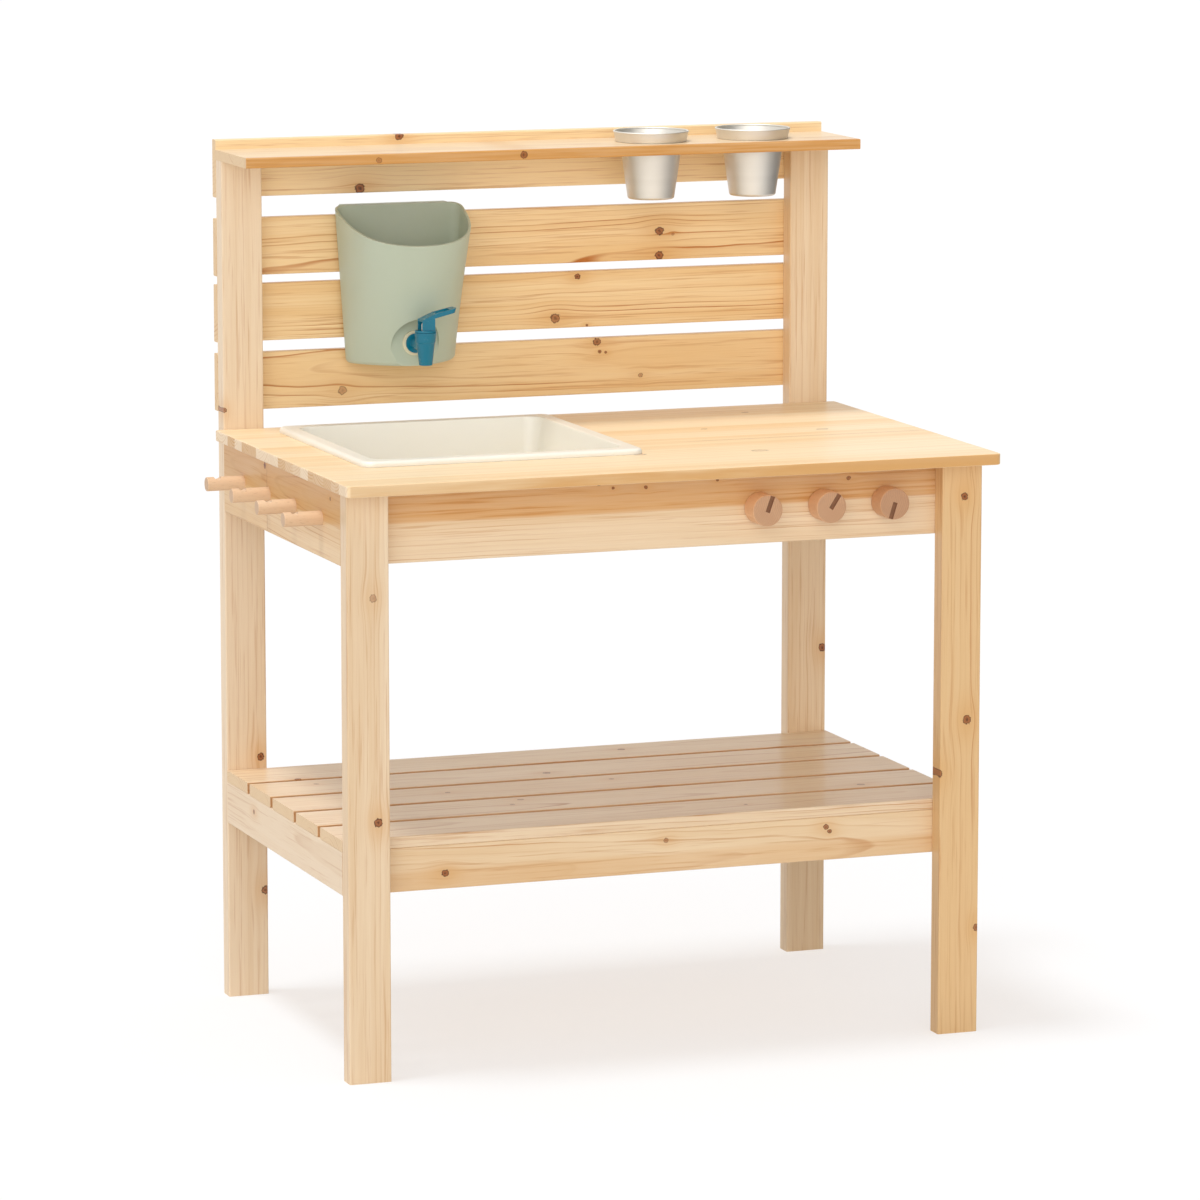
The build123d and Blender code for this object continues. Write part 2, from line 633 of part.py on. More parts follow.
# Tap body: a spout and valve chamber on a threaded shank with its flange
tap_y = recess_y - tap_reach
flange_y = recess_y - gasket_thickness
tap_axis = Axis((wet_x, tap_y, 0), up)
tap_plane = Plane(origin=(wet_x, tap_y, shank_z), x_dir=toward_right, z_dir=toward_front)
with BuildPart() as tap_body:
    with BuildSketch(tap_plane):
        with BuildLine():
            Polyline((0, -spout_drop), (spout_radius, -spout_drop),
                     (collar_base_radius - collar_step[0], collar_base - collar_step[1]),
                     (collar_base_radius, collar_base), (collar_radius, collar_top),
                     (0, collar_top), close=True)
        make_face()
    revolve(axis=tap_axis)
    rounded = tap_body.edges().filter_by(GeomType.CIRCLE).group_by(Axis.Z)
    fillet(rounded[0] + rounded[-1], tap_edge_radius)
    with Locations(Plane(origin=(wet_x, tap_y, shank_z), z_dir=toward_back)):
        Cylinder(tap_shank_radius, tap_reach + tap_shank_tail, align=standing)
    with Locations(Plane(origin=(wet_x, flange_y, shank_z), z_dir=toward_front)):
        Cylinder(tap_flange_radius, tap_flange_thickness, align=standing)
    drill([(wet_x, tap_y, shank_z)], toward_back, tap_water_radius, tap_reach + tap_shank_tail)
    drill([(wet_x, tap_y, shank_z + chamber_floor)], up, chamber_radius, collar_top - chamber_floor)
    drill([(wet_x, tap_y, shank_z + chamber_floor)], down, spout_bore, spout_drop)
save(tap_body, "tap_body")

# Gasket in front of the tank's wall, washer and nut behind it
shank_hole = tap_shank_radius + hole_clearance
with BuildPart() as gasket:
    with BuildSketch(Plane(origin=(wet_x, recess_y, shank_z), z_dir=toward_front)):
        Circle(gasket_radius)
        Circle(shank_hole, mode=Mode.SUBTRACT)
    extrude(amount=gasket_thickness)
    fillet(gasket.edges().group_by(Axis.Y)[0].sort_by(SortBy.RADIUS)[-1], gasket_thickness / 3)
save(gasket, "tap_gasket")
with BuildPart() as inner_washer:
    with BuildSketch(Plane(origin=(wet_x, recess_y + wall, shank_z), z_dir=toward_back)):
        Circle(inner_washer_radius)
        Circle(shank_hole, mode=Mode.SUBTRACT)
    extrude(amount=inner_washer_thickness)
save(inner_washer, "tap_inner_washer")
nut_y = recess_y + wall + inner_washer_thickness
with BuildPart() as nut:
    with BuildSketch(Plane(origin=(wet_x, nut_y, shank_z), z_dir=toward_back)):
        RegularPolygon(nut_across_flats / 2, 6, major_radius=False)
        Circle(shank_hole, mode=Mode.SUBTRACT)
    extrude(amount=nut_thickness)
save(nut, "tap_nut")

# Turning cap that closes the valve chamber, with a square guide for the stem
cap_z = shank_z + collar_top + cap_gap
cap_top = cap_z + cap_thickness
with BuildPart() as tap_cap:
    with Locations((wet_x, tap_y, cap_z)):
        Cylinder(cap_radius, cap_thickness, align=standing)
        Cylinder(chamber_radius - tap_play, cap_neck_length, align=(Align.CENTER, Align.CENTER, Align.MAX))
        Box(stem_square + 2 * stem_square_play, stem_square + 2 * stem_square_play,
            2 * (cap_neck_length + cap_thickness), mode=Mode.SUBTRACT)
    fillet(tap_cap.edges().filter_by(GeomType.CIRCLE).group_by(Axis.Z)[-1], cap_thickness / 4)
save(tap_cap, "tap_cap")

# Valve seal and stem
seal_z = shank_z + chamber_floor + seat_gap
seal_top = seal_z + seal_thickness
with BuildPart() as seal:
    with Locations((wet_x, tap_y, seal_z)):
        Cone(spout_bore + seal_thickness / 2, seal_radius, seal_thickness, align=standing)
    drill([(wet_x, tap_y, seal_top)], down, stem_rod_radius + hole_clearance, stem_rod_depth)
save(seal, "tap_seal")
pin_z = cap_top + pin_rise
shoulder_z = shank_z + stem_shoulder_base
shoulder_top = shoulder_z + stem_shoulder_height
with BuildPart() as stem:
    with Locations((wet_x, tap_y, seal_top - stem_rod_depth)):
        Cylinder(stem_rod_radius, shoulder_z - seal_top + stem_rod_depth, align=standing)
    with Locations((wet_x, tap_y, shoulder_z)):
        Cylinder(stem_shoulder_radius, stem_shoulder_height, align=standing)
    with Locations((wet_x, tap_y, shoulder_top)):
        Box(stem_square, stem_square, pin_z - shoulder_top, align=standing)
    with Locations((wet_x, tap_y, pin_z)):
        Cylinder(stem_square / 2, stem_square, rotation=(90, 0, 0))
        Cylinder(pin_radius + tap_play, 2 * stem_square, rotation=(90, 0, 0), mode=Mode.SUBTRACT)
save(stem, "tap_stem")

# Closing spring between the stem's shoulder and the cap's neck
spring_z = shoulder_top + spring_wire + spring_gap
spring_height = cap_z - cap_neck_length - spring_gap - spring_wire - spring_z
with BuildPart() as spring:
    with BuildLine():
        coil = Helix(spring_height / spring_turns, spring_height, spring_radius,
                     center=(wet_x, tap_y, spring_z))
    with BuildSketch(Plane(origin=coil @ 0, z_dir=coil % 0)):
        Circle(spring_wire)
    sweep(is_frenet=True)
save(spring, "tap_spring")

# Lever: an open channel over the stem that runs out into a loop
lever_half = lever_width / 2
lever_plane = Plane(origin=(wet_x, tap_y, pin_z), x_dir=toward_right, z_dir=toward_front)
bar_slope = (lever_tip[1] - lever_knee[1]) / (lever_tip[0] - lever_knee[0])
cheek_top = lever_knee[1] + bar_slope * (lever_cheek - lever_knee[0]) - lever_bar_height
tip_low = (lever_tip[0] - lever_tip_rake, lever_tip[1] - lever_bar_height)
cheek_base = lever_gap - pin_rise
roof_slope = (lever_knee[1] - lever_back_height) / (lever_knee[0] + lever_back)
roof_back = (-2 * lever_back, lever_back_height - lever_wall - lever_back * roof_slope)
roof_knee = (lever_knee[0], lever_knee[1] - lever_wall)
with BuildPart() as lever:
    with BuildSketch(lever_plane):
        with BuildLine():
            Polyline((-lever_back, cheek_base), (lever_cheek, cheek_base), (lever_cheek, cheek_top), tip_low,
                     lever_tip, lever_knee, (-lever_back, lever_back_height), close=True)
        make_face()
    extrude(amount=lever_half, both=True)
    with BuildSketch(lever_plane):
        with BuildLine():
            Polyline((-2 * lever_back, 2 * cheek_base), (lever_knee[0], 2 * cheek_base), roof_knee, roof_back,
                     close=True)
        make_face()
    extrude(amount=lever_half - lever_wall, both=True, mode=Mode.SUBTRACT)
    window = (lever_knee[0], lever_tip[0] - lever_end_bar)
    with Locations((wet_x + (window[0] + window[1]) / 2, tap_y, pin_z)):
        Box(window[1] - window[0], lever_width - 2 * lever_wall, 4 * lever_tip[1], mode=Mode.SUBTRACT)
    end_face = lever.faces().sort_by(Axis.X)[-1]
    fillet(end_face.edges() - end_face.edges().filter_by(Axis.Y), lever_end_radius)
    with Locations((wet_x, tap_y, pin_z)):
        Cylinder(pin_radius + tap_play, 2 * lever_width, rotation=(90, 0, 0), mode=Mode.SUBTRACT)
save(lever, "tap_lever")
with BuildPart() as pin:
    with Locations((wet_x, tap_y, pin_z)):
        Cylinder(pin_radius, lever_width, rotation=(90, 0, 0))
save(pin, "tap_pin")

# Dowels and screws
both_dowel_z = apron_dowel_z + rail_dowel_z
dowels("frame_dowels", [(grid([dowel_left_x], cross_y, both_dowel_z), toward_right),
                        (grid([dowel_right_x], cross_y, both_dowel_z), toward_left)],
       dowel_radius, dowel_length)
dowels("slat_dowels", [(grid(side_x, slat_mids, [rail_top - slat_dowel_depth]), up)],
       slat_dowel_radius, slat_dowel_depth + slat_dowel_rise)
dowels("worktop_dowels", [(grid(side_x, worktop_dowel_y, [leg_height - worktop_dowel_depth]), up)],
       dowel_radius, worktop_dowel_depth + worktop_dowel_rise)
dowels("post_dowels", [(grid(post_dowel_x, [post_mid_y], [post_height - post_dowel_depth]), up)],
       dowel_radius, post_dowel_depth + post_dowel_rise)
screws("leg_screws", [(grid(leg_screw_x, [front_screw_y], leg_screw_z), toward_front),
                      (grid(leg_screw_x, [rear_screw_y], leg_screw_z), toward_back)], leg_screw_length)
screws("back_slat_screws", [(grid(back_screw_x, [back_y], back_screw_z), toward_front)], back_screw_length)
screws("shelf_screws", [(grid(shelf_screw_x, [back_y], [shelf_mid_z]), toward_front)], shelf_screw_length)
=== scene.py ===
import math

import bpy
import numpy as np
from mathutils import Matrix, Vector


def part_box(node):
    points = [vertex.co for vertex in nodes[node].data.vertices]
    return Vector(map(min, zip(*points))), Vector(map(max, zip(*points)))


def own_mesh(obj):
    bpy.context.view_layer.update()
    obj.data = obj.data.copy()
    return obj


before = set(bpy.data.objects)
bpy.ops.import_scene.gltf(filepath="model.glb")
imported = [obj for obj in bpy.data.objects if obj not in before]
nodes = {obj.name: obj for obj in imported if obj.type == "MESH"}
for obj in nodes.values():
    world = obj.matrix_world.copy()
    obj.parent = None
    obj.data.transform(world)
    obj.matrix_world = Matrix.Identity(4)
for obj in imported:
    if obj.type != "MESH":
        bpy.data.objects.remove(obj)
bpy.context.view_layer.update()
mm = 0.001
print("frame loaded:", len(nodes), "nodes")


def srgb(red, green, blue):  # display values 0 to 255 as linear colour
    value = np.array([red, green, blue]) / 255.0
    linear = np.where(value <= 0.04045, value / 12.92, ((value + 0.055) / 1.055) ** 2.4)
    return (*linear.tolist(), 1.0)


class Wire:  # one number in a node tree, so that sums of wires add Math nodes
    def __init__(self, tree, socket):
        self.tree = tree
        self.socket = socket

    def math(self, kind, first, second=None):
        node = self.tree.nodes.new("ShaderNodeMath")
        node.operation = kind
        for slot, value in zip(node.inputs, (first, second)):
            if isinstance(value, Wire):
                self.tree.links.new(value.socket, slot)
            elif value is not None:
                slot.default_value = value
        return Wire(self.tree, node.outputs[0])

    def __add__(self, other):
        return self.math("ADD", self, other)

    def __sub__(self, other):
        return self.math("SUBTRACT", self, other)

    def __rsub__(self, other):
        return self.math("SUBTRACT", other, self)

    def __mul__(self, other):
        return self.math("MULTIPLY", self, other)

    def __truediv__(self, other):
        return self.math("DIVIDE", self, other)

    def __pow__(self, other):
        return self.math("POWER", self, other)

    def __rpow__(self, other):
        return self.math("POWER", other, self)

    def floor(self):
        return self.math("FLOOR", self)

    def part(self):  # what follows the decimal point
        return self.math("FRACT", self)

    def size(self):
        return self.math("ABSOLUTE", self)

    def cap(self, other):
        return self.math("MINIMUM", self, other)

    def least(self, other):
        return self.math("MAXIMUM", self, other)


class Finish:  # one material, written as expressions on its wires
    def __init__(self, name):
        self.material = bpy.data.materials.new(name)
        self.material.use_nodes = True
        self.tree = self.material.node_tree
        self.tree.nodes.clear()

    def add(self, kind, settings=None, sockets=None, out=0):
        node = self.tree.nodes.new(kind)
        for key, value in (settings or {}).items():
            setattr(node, key, value)
        for key, value in (sockets or {}).items():
            if isinstance(value, Wire):
                self.tree.links.new(value.socket, node.inputs[key])
            else:
                node.inputs[key].default_value = value
        return Wire(self.tree, node.outputs[out]) if len(node.outputs) else None

    def split(self, vector):
        node = self.add("ShaderNodeSeparateXYZ", sockets={"Vector": vector}).socket.node
        return [Wire(self.tree, socket) for socket in node.outputs]

    def join(self, x, y, z):
        return self.add("ShaderNodeCombineXYZ", sockets={"X": x, "Y": y, "Z": z})

    def place(self):
        return self.add("ShaderNodeTexCoord", out="Object")

    def facing(self):
        return self.add("ShaderNodeTexCoord", out="Normal")

    def noise(self, vector, scale=1.0, detail=2.0, rough=0.5):
        return self.add("ShaderNodeTexNoise", {"noise_dimensions": "3D"},
                        {"Vector": vector, "Scale": scale, "Detail": detail, "Roughness": rough})

    # Noise with its own number of cells per metre on each axis
    def grain(self, at, cells, shift=0.0, detail=2.0, rough=0.5, lift=0.0):
        u, v, w = [value * count for value, count in zip(at, cells)]
        return self.noise(self.join(u + shift, v, w + lift), 1.0, detail, rough)

    def chance(self, number):  # the same random value wherever the number is the same
        return self.add("ShaderNodeTexWhiteNoise", {"noise_dimensions": "1D"}, {"W": number})

    def step(self, value, low, high):  # smooth step from 0 at low to 1 at high
        return self.add("ShaderNodeMapRange", {"interpolation_type": "SMOOTHSTEP"},
                        {"Value": value, "From Min": low, "From Max": high})

    def blend(self, amount, first, second):
        return self.add("ShaderNodeMix", {"data_type": "RGBA"}, {0: amount, 6: first, 7: second}, out=2)

    def bump(self, height, strength, distance):
        sockets = {"Height": height, "Strength": strength, "Distance": distance}
        return self.add("ShaderNodeBump", None, sockets)

    def surface(self, **sockets):
        named = {key.replace("_", " "): value for key, value in sockets.items()}
        shader = self.add("ShaderNodeBsdfPrincipled", None, named)
        self.add("ShaderNodeOutputMaterial", None, {"Surface": shader})
        return self.material


def dress(name, material):
    data = nodes[name].data
    data.materials.clear()
    data.materials.append(material)


pineLook = {
    "palest": (srgb(237, 213, 182), srgb(250, 222, 174)),  # plain board, warm board
    "honey": (srgb(222, 189, 147), srgb(232, 188, 126)),
    "line": (srgb(190, 132, 76), srgb(184, 108, 38)),
    "heart": srgb(212, 154, 84),
    "knotRim": srgb(46, 16, 2),
    "knotCore": srgb(146, 70, 12),
    "endGrain": srgb(232, 203, 162),
    "roughness": 0.38,
    "coat": 0.15,
    "coatRoughness": 0.12,
    "shine": 0.28,
    "relief": (0.25, 0.3 * mm),  # strength and depth of the bumps
    "grain": {  # noise cells per metre along, across and through a board
        "ragged": (420.0, 420.0, 90.0),  # outlines of knots
        "drift": (2.2, 7.0, 7.0),  # slow wander of the rings
        "ripple": (12.0, 36.0, 36.0),
        "patchy": (5.0, 26.0, 26.0),  # where late wood shows or fades
        "hair": (7.0, 300.0, 300.0),
        "fibre": (12.0, 900.0, 900.0),
        "pores": (1500.0, 1500.0, 1500.0),
    },
}
knotLook = {  # distances are shares of a knot's radius
    "ragged": 0.7,
    "edge": (0.72, 0.94),
    "rim": (0.58, 0.8),
    "middle": (0.05, 0.45),
    "bend": 0.6,  # how far a knot pushes the rings aside
    "core": 0.85,
    "spot": 0.7,  # dark middle
    "halo": 0.45,
}
turnedTo = (0.6, 0.9)  # part of the normal from which a face counts as turned to an axis


def between(pair, share):  # a colour on the way from the first to the second
    return tuple(first + (second - first) * share for first, second in zip(*pair))


# Solid pine: rings round a pith line that lies beside the board and slants along it, so the faces show arched
# figures that the edges and ends carry on. Knots are round plugs through the board that push the rings aside.
def pine(name, axes, box, look):
    finish = Finish(name)
    grain = pineLook["grain"]
    middle = dict(zip("xyz", (box[0] + box[1]) / 2))
    place = dict(zip("xyz", finish.split(finish.place())))
    facing = dict(zip("xyz", finish.split(finish.facing())))
    along, across, through = axes
    at = u, v, w = [place[axis] - middle[axis] for axis in axes]
    seed = look["seed"]
    palest, honey, lineColour = [between(pineLook[key], look["warm"]) for key in ("palest", "honey", "line")]
    if "joint" in look:  # a board joined lengthwise from two
        toJoint = u - (look["joint"] * mm - middle[along])
        glued = 1.0 - finish.step(toJoint.size(), 0.2 * mm, 1.2 * mm)
        seed = finish.step(toJoint, -0.2 * mm, 0.2 * mm) * 23.0 + seed
    ragged = finish.grain(at, grain["ragged"], seed, 1.0) - 0.5
    bent, halo, core, rim = v, 0.0, 0.0, 0.0
    for knotU, knotV, radius, dark in look["knots"]:
        du = (u - (knotU * mm - middle[along])) / (radius * mm)
        if look.get("edge"):  # the knots show on the board's narrow front
            dv = (w - (knotV * mm - middle[through])) / (radius * mm)
        else:
            dv = (v - (knotV * mm - middle[across])) / (radius * mm)
        reach = math.e ** ((du * du * 0.05 + dv * dv * 0.14) * -1.0)
        if not look.get("edge"):
            bent = bent - dv * reach * (radius * mm * knotLook["bend"])
        apart = (du * du * 0.85 + dv * dv) ** 0.5 + ragged * knotLook["ragged"]
        inside = 1.0 - finish.step(apart, *knotLook["edge"])
        core = (inside * (dark * knotLook["core"])).least(core)
        spot = (1.0 - finish.step(apart, *knotLook["middle"])) * (dark * dark * knotLook["spot"])
        rim = (finish.step(apart, *knotLook["rim"]) * inside * dark).least(spot).least(rim)
        halo = (reach * (knotLook["halo"] * dark)).least(halo)
    drift = finish.grain(at, grain["drift"], seed) - 0.5
    ripple = finish.grain(at, grain["ripple"], seed) - 0.5
    pithV, pithW = look["pith"]
    ringV = bent - pithV * mm
    ringW = w + u * (look["slant"] * mm) - pithW * mm
    outward = (ringV * ringV + ringW * ringW) ** 0.5 + drift * (look["drift"] * mm) + ripple * (2.2 * mm)
    rings = outward / (look["ring"] * mm)
    turn = rings.part()
    ringTone = finish.chance(rings.floor() + seed)
    thin = finish.step(turn, 0.76, 0.92) * (1.0 - finish.step(turn, 0.94, 1.0))
    soft = finish.step(turn, 0.2, 0.95) * (1.0 - finish.step(turn, 0.95, 1.0))
    patchy = finish.step(finish.grain(at, grain["patchy"], seed, lift=7.0), 0.4, 0.62)
    late = (thin + soft * 0.15) * (ringTone * ringTone * 0.85 + 0.15) * (patchy * 0.8 + 0.2)
    hair = finish.grain((u, bent, w), grain["hair"], seed, 3.0, 0.65)
    fibre = finish.grain((u, bent, w), grain["fibre"], seed, 2.0, 0.6)
    streak = finish.grain((u, outward, 0.5), (1.8, 70.0, 1.0), seed, 3.0, 0.6)
    tone = finish.step(streak, 0.3, 0.72) * 0.6 + ringTone * 0.2 + look["tone"]
    colour = finish.blend(tone.cap(1.0).least(0.0), palest, honey)
    for bandLow, bandHigh, amount in look.get("heart", ()):  # a band of red heartwood
        onBoard = bent + drift * 0.014 + middle[across]
        band = finish.step(onBoard, (bandLow - 2.5) * mm, (bandLow + 1.5) * mm)
        band = band * (1.0 - finish.step(onBoard, (bandHigh - 3.0) * mm, (bandHigh + 4.0) * mm))
        depth = finish.step(hair, 0.4, 0.7) * 0.35 + streak * 0.4 + 0.6
        colour = finish.blend(band * amount * depth, colour, pineLook["heart"])
    colour = finish.blend(late * look["lines"], colour, lineColour)
    fine = finish.step(hair, 0.54, 0.68) * 0.36 + (fibre - 0.5).size() * 0.5
    colour = finish.blend(fine, colour, lineColour)
    if "joint" in look:
        colour = finish.blend(glued * 0.45, colour, pineLook["knotCore"])
    colour = finish.blend(halo, colour, pineLook["heart"])
    colour = finish.blend(core, colour, pineLook["knotCore"])
    colour = finish.blend(rim, colour, pineLook["knotRim"])
    if "gapShade" in look:  # painted shade: darker narrow faces in the gaps between boards, where shade falls
        gapShade = finish.step(facing[across].size(), 0.5, 0.9)
        colour = finish.blend(gapShade * look["gapShade"], colour, lineColour)
    sawn = finish.step(facing[along].size(), *turnedTo)
    pores = finish.grain([place[axis] for axis in "xyz"], grain["pores"], detail=1.0)
    ends = finish.blend(late * 0.55 + pores * 0.2, pineLook["endGrain"], lineColour)
    colour = finish.blend(sawn * 0.85, colour, ends)
    height = fibre * 0.3 + hair * 0.3 - late * 0.35 - pores * sawn
    return finish.surface(
        Base_Color=colour,
        Roughness=fibre * 0.12 + sawn * 0.2 + pineLook["roughness"],
        Specular_IOR_Level=pineLook["shine"],
        Coat_Weight=pineLook["coat"],
        Coat_Roughness=pineLook["coatRoughness"],
        Normal=finish.bump(height, *pineLook["relief"]),
    )


# Boards by grain: axes are along the grain, across the face and through the board. pith is the ring centre from
# the board's middle, slant its tilt in mm per metre, ring the ring spacing, drift how far rings wander, tone from
# pale to honey. heart bands are from, to and depth of colour, knots are along, across, radius and depth of colour.
# Lengths are in millimetres.
upright = ("z", "x", "y")
level = ("x", "z", "y")
flat = ("x", "y", "z")
sideways = ("y", "z", "x")
boards = {
    "front_left_leg": (upright, {
        "warm": 0.1, "pith": (-50, 20), "slant": 6, "ring": 4.6, "drift": 5, "tone": -0.05, "lines": 0.4,
        "knots": [(504, -306, 4.6, 0.45), (272, -302, 5.0, 1.0)],
    }),
    "front_right_leg": (upright, {
        "warm": 0.5, "pith": (40, 26), "slant": 12, "ring": 4.2, "drift": 8, "tone": 0.9, "lines": 0.7,
        "knots": [(576, 346, 4.6, 1.0), (338, 351, 5.6, 0.95), (282, 319, 5.0, 0.9), (113, 364, 4.2, 0.9)],
    }),
    "rear_left_post": (upright, {
        "warm": 0.05, "pith": (56, 20), "slant": -10, "ring": 4.8, "drift": 4, "tone": -0.45, "lines": 0.35,
        "knots": [(264, -296, 4.6, 1.0), (116, -292, 5.0, 0.9), (645, -333, 3.0, 0.8)],
    }),
    "rear_right_post": (upright, {
        "warm": 0.15, "pith": (-56, 14), "slant": 6, "ring": 4.2, "drift": 3, "tone": 0.0, "lines": 0.35,
        "knots": [(346, 362, 5.0, 1.0)],
    }),
    "front_apron": (level, {
        "warm": 0.2, "pith": (52, 26), "slant": 8, "ring": 4.6, "drift": 8, "tone": -0.1, "lines": 0.6,
        "heart": [(576, 628, 0.8)],
        "knots": [(-55, 607, 3.6, 0.9), (-39, 601, 1.8, 0.9), (-3, 600, 2.2, 0.9), (76, 604, 1.9, 0.9),
                  (223, 599, 2.6, 0.8), (-96, 607, 1.8, 0.8)],
    }),
    "rear_apron": (level, {
        "warm": 0.5, "pith": (-34, 40), "slant": 18, "ring": 4.0, "drift": 8, "tone": 0.1, "lines": 0.42,
        "knots": [(-140, 584, 5.0, 0.9), (210, 560, 4.0, 0.8)],
    }),
    "left_apron": (sideways, {
        "warm": 0.4, "pith": (20, -40), "slant": 30, "ring": 4.0, "drift": 8, "tone": 0.45, "lines": 0.9,
        "joint": 55, "heart": [(574, 628, 0.6)],
        "knots": [(62, 605, 4.0, 1.0), (-165, 600, 2.2, 0.9)],
    }),
    "right_apron": (sideways, {
        "warm": 0.4, "pith": (-12, 44), "slant": 20, "ring": 3.8, "drift": 8, "tone": 0.1, "lines": 0.42,
        "knots": [(-60, 580, 4.6, 0.9)],
    }),
    "lower_front_rail": (level, {
        "warm": 0.3, "pith": (-12, 42), "slant": -22, "ring": 3.8, "drift": 9, "tone": 0.0, "lines": 0.8,
        "heart": [(182, 214, 0.35)],
        "knots": [(-223, 210, 4.2, 1.0), (200, 229, 3.4, 0.9), (204, 224, 2.6, 0.9), (20, 227, 3.2, 0.6)],
    }),
    "lower_rear_rail": (level, {
        "warm": 0.4, "pith": (26, 44), "slant": 16, "ring": 4.0, "drift": 8, "tone": 0.1, "lines": 0.42,
        "knots": [(120, 214, 4.0, 0.9)],
    }),
    "lower_left_rail": (sideways, {
        "warm": 0.0, "pith": (10, -60), "slant": 12, "ring": 4.6, "drift": 6, "tone": -0.2, "lines": 0.3,
        "knots": [(113, 224, 3.0, 0.9)],
    }),
    "lower_right_rail": (sideways, {
        "warm": 0.3, "pith": (-16, 40), "slant": 14, "ring": 4.0, "drift": 7, "tone": 0.0, "lines": 0.38,
        "knots": [(30, 218, 3.6, 0.9)],
    }),
    # back_slat_1 gets the palest, warmest tone as painted light, lifting the shade under the top shelf
    "back_slat_1": (level, {
        "warm": 1.0, "pith": (60, 20), "slant": -6, "ring": 4.4, "drift": 8, "tone": -0.7, "lines": 0.5,
        "knots": [(-127, 932, 5.0, 1.0), (-172, 877, 6.0, 1.0), (205, 908, 2.0, 0.8)],
    }),
    "back_slat_2": (level, {
        "warm": 1.0, "pith": (-30, 28), "slant": 20, "ring": 4.6, "drift": 10, "tone": 0.05, "lines": 1.0,
        "knots": [(174, 819, 5.6, 1.0), (174, 792, 5.4, 1.0), (190, 815, 1.8, 0.5)],
    }),
    "back_slat_3": (level, {
        "warm": 1.0, "pith": (46, 24), "slant": -10, "ring": 4.6, "drift": 10, "tone": 0.1, "lines": 1.0,
        "knots": [(78, 772, 3.6, 1.0), (52, 727, 6.0, 0.8), (89, 718, 1.6, 0.9)],
    }),
    "back_slat_4": (level, {
        "warm": 1.0, "pith": (10, 30), "slant": 18, "ring": 4.4, "drift": 10, "tone": 0.0, "lines": 1.0,
        "knots": [(101, 699, 5.0, 0.9), (104, 688, 2.2, 0.9), (111, 687, 1.8, 0.9), (152, 660, 3.0, 0.6),
                  (-193, 658, 5.6, 0.55)],
    }),
    "top_shelf": (flat, {
        "warm": 0.4, "pith": (-20, 34), "slant": 14, "ring": 4.0, "drift": 8, "tone": -0.55, "lines": 0.6,
        "edge": True, "heart": [(113, 126, 1.1)],
        "knots": [(-187, 917, 3.6, 0.55), (-24, 918, 4.6, 0.9)],
    }),
    "shelf_slat_1": (flat, {
        "warm": 0.1, "pith": (8, -46), "slant": 18, "ring": 4.4, "drift": 8, "tone": -0.3, "lines": 0.8,
        "knots": [(124, -160, 2.2, 0.8)],
    }),
    # shelf slats 2 to 5 carry painted shade on their narrow faces, in the gaps between them
    "shelf_slat_2": (flat, {
        "warm": 0.1, "pith": (-14, -40), "slant": 22, "ring": 4.4, "drift": 9, "tone": -0.2, "lines": 0.8,
        "gapShade": 0.75,
        "knots": [(-90, -53, 4.0, 0.6), (-107, -75, 3.0, 0.6), (280, -100, 4.6, 0.6)],
    }),
    "shelf_slat_3": (flat, {
        "warm": 0.1, "pith": (12, -40), "slant": -18, "ring": 4.4, "drift": 9, "tone": -0.2, "lines": 0.8,
        "gapShade": 0.75,
        "knots": [(-150, 10, 3.4, 0.6), (40, 22, 3.0, 0.6)],
    }),
    "shelf_slat_4": (flat, {
        "warm": 0.1, "pith": (-6, -44), "slant": 16, "ring": 4.4, "drift": 9, "tone": -0.25, "lines": 0.8,
        "gapShade": 0.75,
        "knots": [(-267, 104, 3.2, 0.6), (-14, 78, 4.4, 0.8)],
    }),
    "shelf_slat_5": (flat, {
        "warm": 0.2, "pith": (12, -50), "slant": -20, "ring": 4.4, "drift": 9, "tone": -0.2, "lines": 0.8,
        "gapShade": 0.75,
        "knots": [(-277, 138, 4.0, 0.9), (110, 180, 4.4, 0.7)],
    }),
}
for number, (name, (axes, look)) in enumerate(boards.items()):
    dress(name, pine(f"pine_{name}", axes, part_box(name), {"seed": 3.7 * number + 1.3, **look}))
print("pine boards dressed:", len(boards))


worktopLook = {
    "stave": 38.0,  # width of the glued staves
    "block": 26.0,  # patches of end grain
    "seam": 0.35,
    "sawn": srgb(240, 218, 190),
    "ring": 3.4,
    "pale": srgb(252, 229, 192),
    "honey": srgb(243, 204, 149),
    "line": srgb(202, 152, 94),
    "shine": 0.14,
    "coat": 0.05,
    "knots": [(146, -140, 6.0, 0.35), (153, 40, 2.2, 0.8), (245, 154, 2.6, 0.7), (272, -4, 4.2, 0.45),
              (17, -126, 4.4, 0.5)],
    "darkSeam": -49.0,  # one open glue line, right of the sink
    "grain": {  # noise cells per metre along, across and through the staves
        "drift": (1.7, 4.0, 4.0),
        "ripple": (9.0, 30.0, 30.0),
        "fibre": (14.0, 900.0, 900.0),
        "streak": (1.4, 60.0, 60.0),
    },
}


